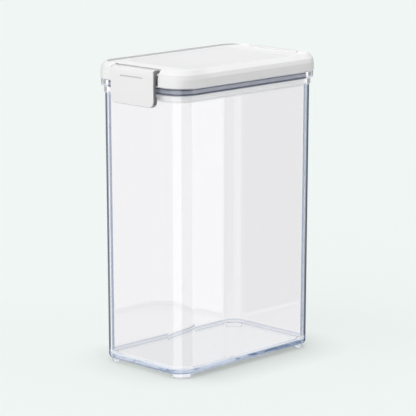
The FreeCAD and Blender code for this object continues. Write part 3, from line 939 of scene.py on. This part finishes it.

# %% [markdown]
# ## Blue-grey lines at the edges
#
# Where a wall turns away from the eye, one looks along the plastic instead of through it, and the
# real keeper shows fine blue-grey lines there. These lines are painted shade: Layer Weight says how
# much a surface turns away, so the upright walls take a dark blue-grey painted shade in their
# colour at a flat angle. Rays straight from the camera need a flatter angle than rays already
# inside, which keeps the outermost line fine. The fold between wall and floor gets a lighter
# painted shade by its slope. A darker studio round the keeper would give such lines too, but it
# would darken the white lid with them.

# %% Clear plastic, painted shade at the edges
CLEAR_WALL = (0.985, 0.987, 0.99, 1)
EDGE_SHADE, FOLD_SHADE = (0.05, 0.09, 0.2, 1), (0.52, 0.59, 0.70, 1)
CAMERA_SHIFT, GRAZING, EDGE_TOP_Z, FOLD_TOP_Z = -0.17, (0.4, 0.46), NECK_Z - 0.5, FLOOR_Z + 4
UPRIGHT, FOLD_SLOPE, FOLD_CLOSE, FOLD_FAR = (0.75, 0.5), 0.6, 0.1, 0.2
rise = size_of(tree, slope["Z"])
turned = add(tree, "ShaderNodeLayerWeight", {"Blend": 0.5}).outputs["Facing"]
turned = math_of(tree, "MULTIPLY_ADD", path["Is Camera Ray"], CAMERA_SHIFT, turned)
grazing = fade(tree, turned, *GRAZING)
upright = fade(tree, rise, *UPRIGHT)
edge = all_of(tree, grazing, upright, between(tree, place["Z"], UNDER_Z, EDGE_TOP_Z, blur=0.2))
fold = all_of(
    tree, near(tree, rise, FOLD_SLOPE, FOLD_CLOSE, FOLD_FAR),
    between(tree, place["Z"], UNDER_Z, FOLD_TOP_Z, blur=0.2),
    math_of(tree, "LESS_THAN", path["Glossy Depth"], 0.5))
# Painted shade: dark blue-grey on the upright walls at a flat angle, a lighter blue-grey in the
# fold.
tint_and_shade = blend_colours(tree, fold, CLEAR_WALL, FOLD_SHADE)
tint_and_shade = blend_colours(tree, edge, tint_and_shade, EDGE_SHADE)
report(clear_plastic)

# %% [markdown]
# ## Light that runs along inside the plastic
#
# Light that enters an edge bounces along inside the wall, as in a glass fibre, and comes out at
# the other edges: that is why the cut of the floor and the rim glow. Following it takes dozens of
# bounces and gives noise. So a ray is stopped at its third mirror bounce and takes a painted glow,
# a plain colour that fits the place: painted dark and pale patches in the floor slab, even in the
# walls, paler in the rim and the feet. The patches thin out towards the right end.

# %% Clear plastic, trapped light
LAST_BOUNCE, NO_LIGHT = 3.0, (0, 0, 0, 1)
SLAB_DARK, SLAB_PALE = (0.2, 0.27, 0.4, 1), (0.76, 0.80, 0.88, 1)
WALL_GLOW, RIM_GLOW, FOOT_GLOW = (0.56, 0.60, 0.66, 1), (0.74, 0.78, 0.84, 1), (0.85, 0.88, 0.92, 1)
PATCH_SIZE, PATCH_EDGE = 70.0, (0.35, 0.5)
PATCH_FADE, PATCH_END, RIM_LOW_Z = (20, 60), 0.2, NECK_Z - 1
# Painted glow: trapped rays end here, and the colours below are given off as emission.
trapped = math_of(tree, "GREATER_THAN", path["Glossy Depth"], LAST_BOUNCE - 0.5)
just_trapped = math_of(tree, "COMPARE", path["Glossy Depth"], LAST_BOUNCE, 0.5)
painted_patches = add(tree, "ShaderNodeTexNoise", {"Vector": spot, "Scale": PATCH_SIZE, "Detail": 1.0})
painted_patches = fade(tree, painted_patches.outputs[0], *PATCH_EDGE)
painted_patches = all_of(tree, painted_patches, fade_along(tree, place["X"], *PATCH_FADE, 1.0, PATCH_END))
in_rim = math_of(tree, "GREATER_THAN", place["Z"], RIM_LOW_Z * MM)
in_foot = math_of(tree, "LESS_THAN", place["Z"], UNDER_Z * MM)
guided = blend_colours(tree, painted_patches, SLAB_DARK, SLAB_PALE)
above_slab = fade_along(tree, place["Z"], SLAB_LOW, SLAB_HIGH)
guided = blend_colours(tree, above_slab, guided, WALL_GLOW)
guided = blend_colours(tree, in_rim, guided, RIM_GLOW)
guided = blend_colours(tree, in_foot, guided, FOOT_GLOW)
tree.links.new(blend_colours(tree, trapped, tint_and_shade, NO_LIGHT), shader.inputs["Base Color"])
report(clear_plastic)

# %% Clear plastic, painted highlights at the foot of the walls
GLINT, GLINT_LOW, GLINT_HIGH = (0.07, 0.073, 0.077, 1), FLOOR_Z + 0.4, FLOOR_Z + 3.6
HEM_HIGHLIGHT, HEM_LOW, HEM_HIGH, LONG_SIDE = (0.45, 0.46, 0.48, 1), UNDER_Z - 0.3, UNDER_Z + 0.7, 0.4
# Painted highlights: a faint glint just above the floor level and a bright hem along the bottom
# edge of the long sides, given off as emission to the camera.
seen = path["Is Camera Ray"]
glint = all_of(tree, between(tree, place["Z"], GLINT_LOW, GLINT_HIGH, blur=0.5), upright, seen)
long_side = math_of(tree, "GREATER_THAN", size_of(tree, slope["Y"]), LONG_SIDE)
hem_highlight = all_of(tree, between(tree, place["Z"], HEM_LOW, HEM_HIGH, blur=0.3), long_side, seen)
glow = blend_colours(tree, glint, NO_LIGHT, GLINT)
glow = blend_colours(tree, hem_highlight, glow, HEM_HIGHLIGHT)
glow = blend_colours(tree, just_trapped, glow, guided)
tree.links.new(glow, shader.inputs["Emission Color"])
report(clear_plastic)

# %% [markdown]
# ## White plastic of the cover
#
# The cover is one white, satin moulding, so its colour is even, and what shows on it is shade:
# the dished panel a touch darker than the deck, a grey line in the step inside the crest, soft
# shade in the notches and on the bevel at the near end. The studio's wide lamps wash such small
# shades out, and more contrast in the lamps would spoil the clear walls. So a little of that
# shade is put into the colour, by masks that follow the cover's own sizes.

# %% White plastic, panel and step
STEP_MIDDLE = WALL_RADIUS + CREST_OFF - CREST_WIDTH - 0.3
STEP_IN, STEP_BACK = 0.45, 0.35
SIDEWAYS, STEP_AT_ENDS = (0.3, 0.7), 0.25
white_plastic = bpy.data.materials.new("white plastic")
tree, shader = start_material(white_plastic)
spot = spot_on(tree)
place = parts_of(tree, spot)
slope = slope_of(tree)


def reach_from(tree, spot, half_x, half_y):
    """How far a place lies, in plan, outside a rectangle round the middle."""
    flat = vector_of(tree, "MULTIPLY", spot, (1, 1, 0))[0]
    flat = vector_of(tree, "ABSOLUTE", flat)[0]
    beyond = vector_of(tree, "SUBTRACT", flat, Vector((half_x, half_y, 0)) * MM)[0]
    beyond = vector_of(tree, "MAXIMUM", beyond)[0]
    return vector_of(tree, "LENGTH", beyond)["Value"]


panel_reach = reach_from(tree, spot, PANEL_X - PANEL_RADIUS, PANEL_Y - PANEL_RADIUS)
on_panel = between(tree, panel_reach, -PANEL_RADIUS, PANEL_RADIUS, blur=0.4)
wall_reach = reach_from(tree, spot, TOP_X - WALL_RADIUS, TOP_Y - WALL_RADIUS)
in_step = all_of(
    tree, between(tree, wall_reach, STEP_MIDDLE - STEP_IN, STEP_MIDDLE + STEP_BACK, blur=0.3),
    between(tree, place["Z"], DECK_Z, LID_Z - 0.15, blur=0.2),
    fade(tree, size_of(tree, slope["Y"]), *SIDEWAYS, STEP_AT_ENDS))
report(white_plastic)

# %% White plastic, bevel, notches and ridges
BEVEL_SLOPE, BEVEL_CLOSE, BEVEL_FAR = 0.5, 0.18, 0.46
NEAR_END = (-45, -60)
RIDGE_HALF = 27
side_x, side_y = size_of(tree, place["X"]), size_of(tree, place["Y"])
on_bevel = all_of(
    tree, near(tree, slope["Z"], BEVEL_SLOPE, BEVEL_CLOSE, BEVEL_FAR),
    fade_along(tree, place["X"], *NEAR_END))
in_notch = all_of(
    tree, between(tree, side_x, NOTCH_X - 0.1, NOTCH_X + 0.3, blur=0.1),
    between(tree, side_y, -NOTCH_Y - 0.1, NOTCH_Y + 0.1, blur=0.1),
    between(tree, place["Z"], SKIRT_Z, LID_Z - 0.5, blur=0.3))
on_ridge = all_of(
    tree, between(tree, side_x, NOTCH_X - RIDGE_WALL - 0.2, NOTCH_X - RIDGE_WALL + 0.2, blur=0.1),
    between(tree, place["Z"], DECK_Z + 0.1, LID_Z - 0.5, blur=0.2),
    between(tree, side_y, -RIDGE_HALF, RIDGE_HALF, blur=0.1))
report(white_plastic)

# %% White plastic, shades
DECK_WHITE, BEVEL_SHADE = (0.885, 0.885, 0.89, 1), (0.785, 0.785, 0.79, 1)
PANEL_LEFT, PANEL_RIGHT, PANEL_FADE = (0.79, 0.79, 0.795, 1), (0.82, 0.82, 0.828, 1), (-55, -10)
STEP_SHADE, NOTCH_SHADE = (0.52, 0.52, 0.53, 1), (0.5, 0.5, 0.51, 1)
RIDGE_SHADE = (0.72, 0.72, 0.73, 1)
# Painted shade: the panel is darker towards its left end.
towards_right = fade_along(tree, place["X"], *PANEL_FADE)
panel_shade = blend_colours(tree, towards_right, PANEL_LEFT, PANEL_RIGHT)
colour = blend_colours(tree, on_bevel, DECK_WHITE, BEVEL_SHADE)
for mask, shade in (
    (on_panel, panel_shade), (in_step, STEP_SHADE),
    (in_notch, NOTCH_SHADE), (on_ridge, RIDGE_SHADE),
):
    colour = blend_colours(tree, mask, colour, shade)
with_grain(tree, shader, colour, roughness=0.36)
report(white_plastic)

# %% [markdown]
# ## Latch plastic
#
# The latches are moulded in the same white, a little more matt. Their face is even, the rolled
# top edge has a painted shade a little darker, and the narrow flanks below and beside the face have
# a painted dark grey shade, because hardly any light comes from that way. The line across the face
# is a real groove in the mesh, and it gets a painted soft grey shade as well, because the lamps
# alone can't shade so fine a groove.

# %% Latch plastic
LATCH_WHITE, ROLL_SHADE, ROLL_SLOPE = (0.86, 0.857, 0.857, 1), (0.75, 0.748, 0.748, 1), (0.12, 0.5)
FLANK_SHADE, LINE_SHADE = (0.25, 0.25, 0.255, 1), (0.6, 0.6, 0.605, 1)
latch_plastic = bpy.data.materials.new("latch plastic")
tree, shader = start_material(latch_plastic)
place = parts_of(tree, spot_on(tree))
side_x, side_y = size_of(tree, place["X"]), size_of(tree, place["Y"])
behind_face = fade_along(tree, side_x, LATCH_FACE - 0.35, LATCH_FACE - 0.9)
near_side = fade_along(tree, side_y, LATCH_HALF - 1.2, LATCH_HALF - 0.6)
near_foot = fade_along(tree, place["Z"], LATCH_LOW_Z + 2.5, LATCH_LOW_Z + 0.6)
on_flank = all_of(tree, behind_face, math_of(tree, "MAXIMUM", near_side, near_foot))
in_line = all_of(
    tree, between(tree, place["Z"], LINE_LOW_Z - 0.1, LINE_HIGH_Z + 0.1, blur=0.2),
    between(tree, side_y, -LINE_HALF, LINE_HALF, blur=0.4))
rolled = fade(tree, slope_of(tree)["Z"], *ROLL_SLOPE)
# Painted shade on the rolled top edge, on the flanks and in the finger line.
colour = LATCH_WHITE
for mask, shade in ((rolled, ROLL_SHADE), (on_flank, FLANK_SHADE), (in_line, LINE_SHADE)):
    colour = blend_colours(tree, mask, colour, shade)
with_grain(tree, shader, colour, roughness=0.4)
report(latch_plastic)

# %% [markdown]
# ## Liner, silicone and pins
#
# The liner is plain white. It sits behind a clear wall that lets less lamp light in here than a
# real one does, so it has a faint painted glow, a little light of its own. The seal is soft
# blue-grey silicone: its lower and upper bands, with the lips, carry a painted dark shade, and the
# open stretch between them keeps the paler blue-grey. The pins are plain white plastic, hidden in
# use. They are left as the CAD model has them, and a material is hung on their slots.


# %% Liner plastic, silicone and pin plastic
def dress(names, material):
    """Gives a material to CAD nodes, through the slots of their objects."""
    for name in names:
        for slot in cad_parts[name].material_slots:
            slot.link = "OBJECT"
            slot.material = material


WHITE, LINER_GLOW = (1, 1, 1, 1), 0.11
LINER_WHITE, PIN_WHITE = (0.92, 0.92, 0.92, 1), (0.8, 0.8, 0.8, 1)
LIP_PAINTED_SHADE, SEAL_BLUE = (0.06, 0.08, 0.14, 1), (0.56, 0.59, 0.70, 1)
# Painted glow: the liner gives off a faint white light.
liner_plastic = bpy.data.materials.new("liner plastic")
tree, shader = start_material(liner_plastic, Emission_Color=WHITE, Emission_Strength=LINER_GLOW)
with_grain(tree, shader, LINER_WHITE, roughness=0.32)
report(liner_plastic)

tree, shader = start_material(silicone)
level = parts_of(tree, spot_on(tree))["Z"]
# Painted shade: the lower and upper bands of the seal, with its lips, are dark blue-grey.
open_part = between(tree, level, BAND_TOP_Z + 1.3, SEAL_TOP_Z - 2.1, blur=0.5)
colour = blend_colours(tree, open_part, LIP_PAINTED_SHADE, SEAL_BLUE)
with_grain(tree, shader, colour, roughness=0.45, relief=2 * FINE_RELIEF)
report(silicone)

pin_plastic = bpy.data.materials.new("pin plastic")
tree, shader = start_material(pin_plastic)
with_grain(tree, shader, PIN_WHITE, roughness=0.4)
dress(["left_hinge_pin", "right_hinge_pin"], pin_plastic)
report(pin_plastic)

# %% [markdown]
# ## Each piece on its body
#
# The CAD frame moves: the lid lifts off and the latches swing. Each dressed piece rides on the
# body that carries it, and stands in for the CAD piece that it replaces, which is then hidden.
# Nothing has to be placed, because every mesh was made where it belongs.

# %% Give each piece its place in the frame
pieces = (
    (clear_body, clear_plastic, "container", "container_body", "clear_plastic"),
    (cover, white_plastic, "lid", "lid_cover", "white_lid"),
    (liner, liner_plastic, "lid", "lid_liner", "white_liner"),
    (seal, silicone, "lid", "lid_seal", "seal_silicone"),
    (latches["left"], latch_plastic, "left_latch_flap", "left_latch", "white_latch"),
    (latches["right"], latch_plastic, "right_latch_flap", "right_latch", "white_latch"),
)
for piece, material, body, node, slot in pieces:
    piece.data.materials.clear()
    piece.data.materials.append(material)
    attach(piece, body)
    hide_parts(node)
    print(piece.name, "rides on", body, "in", material.name)

# %% [markdown]
# ## The studio round the keeper
#
# The keeper stands in a pale mint studio. Clear plastic shows what it mirrors and what lies
# behind it, so the world has more than one face, and Light Path picks the right one for each ray:
# mint for the camera, a paler white through the walls, soft boxes for reflections, and another
# set of soft boxes for light that is already inside the plastic. One even world would leave the
# walls without the tall soft stripes that make them look like plastic. A lamp panel for each
# stripe would do it too, but would light the lid as well.

# %% World, directions and colours
MINT, SEEN_THROUGH = (0.841, 0.892, 0.874, 1), (0.90, 0.887, 0.892, 1)
AMBIENT = 0.24
world = bpy.data.worlds.new("studio")
scene.world = world
world.use_nodes = True
tree = world.node_tree
tree.nodes.clear()
direction = add(tree, "ShaderNodeTexCoord").outputs["Generated"]
heading = parts_of(tree, direction)
azimuth = math_of(tree, "ARCTAN2", heading["Y"], heading["X"])
azimuth = math_of(tree, "MULTIPLY_ADD", azimuth, 1 / math.tau, 0.5)


def around(stops):
    """Brightness by azimuth, from (degrees, brightness) stops between -180 and 180."""
    ramp = add(tree, "ShaderNodeValToRGB", {"Fac": azimuth})
    points = ramp.color_ramp.elements
    points.remove(points[1])
    points[0].position = stops[0][0] / 360 + 0.5
    points[0].color = (stops[0][1],) * 3 + (1,)
    for degrees, value in stops[1:]:
        points.new(degrees / 360 + 0.5).color = (value, value, value, 1)
    return ramp.outputs["Color"]


def lobe(towards, inner, outer):
    """1 within the inner angle of a direction, 0 beyond the outer one."""
    close = vector_of(tree, "DOT_PRODUCT", direction, Vector(towards).normalized())["Value"]
    made = add(tree, "ShaderNodeMapRange", {
        "Value": close,
        "From Min": math.cos(math.radians(outer)), "From Max": math.cos(math.radians(inner)),
    }, interpolation_type="SMOOTHSTEP")
    return made.outputs["Result"]


print("the world has", len(tree.nodes), "nodes")

# %% Soft boxes
OUTER_STOPS = (
    (-180, 2.2), (-134, 2.2), (-131, 0.2), (-20, 0.2), (-8, 0.3), (0, 0.1), (38, 0.1),
    (42, 1.0), (48, 1.0), (52, 0.35), (88, 0.35), (95, 1.0), (174, 1.0), (177, 2.2),
)
INNER_STOPS = (
    (-180, 1.0), (-134, 1.0), (-131, 0.2), (-62, 0.2), (-58, 1.9), (-20, 1.9), (-5, 0.9),
    (0, 0.35), (36, 0.35), (42, 0.85), (50, 0.85), (54, 0.4), (88, 0.4), (94, 1.4), (120, 1.4),
    (125, 0.0), (174, 0.0), (177, 1.0),
)
HIGH, STEEP = (0.08, 0.18), (-0.32, -0.42)
HIGH_OUTSIDE, HIGH_INSIDE = (0.7, 0.7, 0.71, 1), (0.85, 0.85, 0.85, 1)
HIGH_EDGES, STEEP_INSIDE = (0.9, 0.92, 0.95, 1), (0.78, 0.8, 0.83, 1)
EDGE_BRIGHT, EDGE_DARK = (0.95, 0.97, 1.0, 1), (0.2, 0.26, 0.38, 1)
EDGE_FROM, EDGE_ANGLES = (-0.7, -0.7, 0.0), (30, 60)
high = fade(tree, heading["Z"], *HIGH)
steep = fade(tree, heading["Z"], *STEEP)
boxes = blend_colours(tree, high, around(OUTER_STOPS), HIGH_OUTSIDE)
inner = blend_colours(tree, high, around(INNER_STOPS), HIGH_INSIDE)
inner = blend_colours(tree, steep, inner, STEEP_INSIDE)
edges = blend_colours(tree, lobe(EDGE_FROM, *EDGE_ANGLES), EDGE_BRIGHT, EDGE_DARK)
edges = blend_colours(tree, high, edges, HIGH_EDGES)
print("stops outside:", len(OUTER_STOPS), "and inside:", len(INNER_STOPS))


# %% A face of the world for each kind of ray
def backdrop(colour, strength=1.0):
    """One Background shader."""
    return add(tree, "ShaderNodeBackground", {"Color": colour, "Strength": strength}).outputs[0]


def ray_marks(tree):
    """Light Path's outputs, and marks for rays that were mirrored, entered or scattered."""
    path = add(tree, "ShaderNodeLightPath").outputs
    depths = ("Glossy Depth", "Transmission Depth", "Diffuse Depth")
    return [path] + [math_of(tree, "GREATER_THAN", path[name], 0.5) for name in depths]


path, mirrored, entered, scattered = ray_marks(tree)
mirrored_twice = math_of(tree, "GREATER_THAN", path["Glossy Depth"], 1.5)
ambient = backdrop(WHITE, AMBIENT)
reflected = blend_shaders(tree, entered, backdrop(boxes), backdrop(inner))
look = blend_shaders(tree, entered, ambient, backdrop(SEEN_THROUGH))
look = blend_shaders(tree, mirrored, look, reflected)
look = blend_shaders(tree, mirrored_twice, look, backdrop(edges))
look = blend_shaders(tree, path["Is Camera Ray"], look, backdrop(MINT))
look = blend_shaders(tree, scattered, look, ambient)
add(tree, "ShaderNodeOutputWorld", {"Surface": look})
print("the world has", len(tree.nodes), "nodes")

# %% [markdown]
# ## The paper floor
#
# The keeper stands on the same mint as the backdrop, with only a faint shadow under it. A wide
# disc takes the place of the studio's paper. Its colour is the backdrop's, so that no horizon
# shows, and ambient occlusion darkens it where the base shuts out light, a little less at the
# left end. Rays that were mirrored go through it, and rays through the plastic see a pale white,
# because a dark floor would show in the walls as a hard band.

# %% Floor disc
FLOOR_RADIUS, FLOOR_DROP, FLOOR_SIDES = 15000, 0.2, 96
mesh = bpy.data.meshes.new("studio_floor")
shape = bmesh.new()
bmesh.ops.create_circle(shape, cap_ends=True, radius=FLOOR_RADIUS * MM, segments=FLOOR_SIDES)
shape.to_mesh(mesh)
shape.free()
floor = bpy.data.objects.new("studio_floor", mesh)
floor.location.z = -FLOOR_DROP * MM
scene.collection.objects.link(floor)
print("floor disc:", 2 * FLOOR_RADIUS * MM, "m across")

# %% Paper
SHADOW_REACH, SHADOW_FADE, SHADOW_LEFT, SHADOW_RIGHT = 40, (-75, -50), -0.2, -0.42
BOUNCE_GREY, EVEN_SHARE = (0.35, 0.35, 0.35, 1), 0.6
paper = bpy.data.materials.new("paper")
tree, shader = start_material(paper, Roughness=1.0, Specular_IOR_Level=0.0)
path, mirrored, entered, scattered = ray_marks(tree)
place = parts_of(tree, spot_on(tree))
open_sky = add(tree, "ShaderNodeAmbientOcclusion", {"Distance": SHADOW_REACH * MM}, samples=16)
covered = math_of(tree, "SUBTRACT", 1.0, open_sky.outputs["AO"])
depth = fade_along(tree, place["X"], *SHADOW_FADE, SHADOW_LEFT, SHADOW_RIGHT)
shaded = scaled(tree, MINT, math_of(tree, "MULTIPLY_ADD", covered, depth, 1.0))
seen = blend_colours(tree, path["Is Camera Ray"], BOUNCE_GREY, shaded)
tree.links.new(seen, shader.inputs["Base Color"])
report(paper)

# %% Paper by kind of ray
direct = math_of(tree, "SUBTRACT", 1.0, scattered)
even = math_of(tree, "MULTIPLY", path["Is Camera Ray"], EVEN_SHARE)
lit = add(tree, "ShaderNodeEmission", {"Color": shaded}).outputs[0]
glow = add(tree, "ShaderNodeEmission", {"Color": SEEN_THROUGH}).outputs[0]
clear = add(tree, "ShaderNodeBsdfTransparent").outputs[0]
look = blend_shaders(tree, even, shader.outputs[0], lit)
look = blend_shaders(tree, all_of(tree, entered, direct), look, glow)
look = blend_shaders(tree, all_of(tree, mirrored, direct), look, clear)
tree.links.new(look, tree.nodes["Material Output"].inputs["Surface"])
mesh.materials.append(paper)
report(paper)

# %% [markdown]
# ## Lamps
#
# The photograph has soft light from the left, less from the right and a little from above, and
# no hard shadow. Suns with a very wide angle give that, and their strength can be read as a share
# of full white. Area lamps would do as well, but then the strength also depends on how far away
# they stand. The suns are kept out of mirrors and of the clear walls, where they would show as
# white discs: the soft boxes of the world are there for that.


# %% Three soft suns
def sun(name, irradiance, towards, angle):
    """A sun that gives a face turned straight to it that irradiance, where 1 is full white."""
    lamp = bpy.data.lights.new(name, "SUN")
    lamp.energy = irradiance * math.pi
    lamp.angle = math.radians(angle)
    thing = bpy.data.objects.new(name, lamp)
    thing.rotation_euler = Vector(towards).to_track_quat("-Z", "Y").to_euler()
    scene.collection.objects.link(thing)
    thing.visible_glossy = False
    thing.visible_transmission = False
    print("sun", name, "gives", irradiance, "of full white")


sun("left", irradiance=0.76, towards=(0.85, 0.0, -0.53), angle=80)
sun("right", irradiance=0.405, towards=(-0.6, 0.75, -0.28), angle=70)
sun("top", irradiance=0.31, towards=(0, 0, -1), angle=90)
scene.view_settings.view_transform = "Standard"
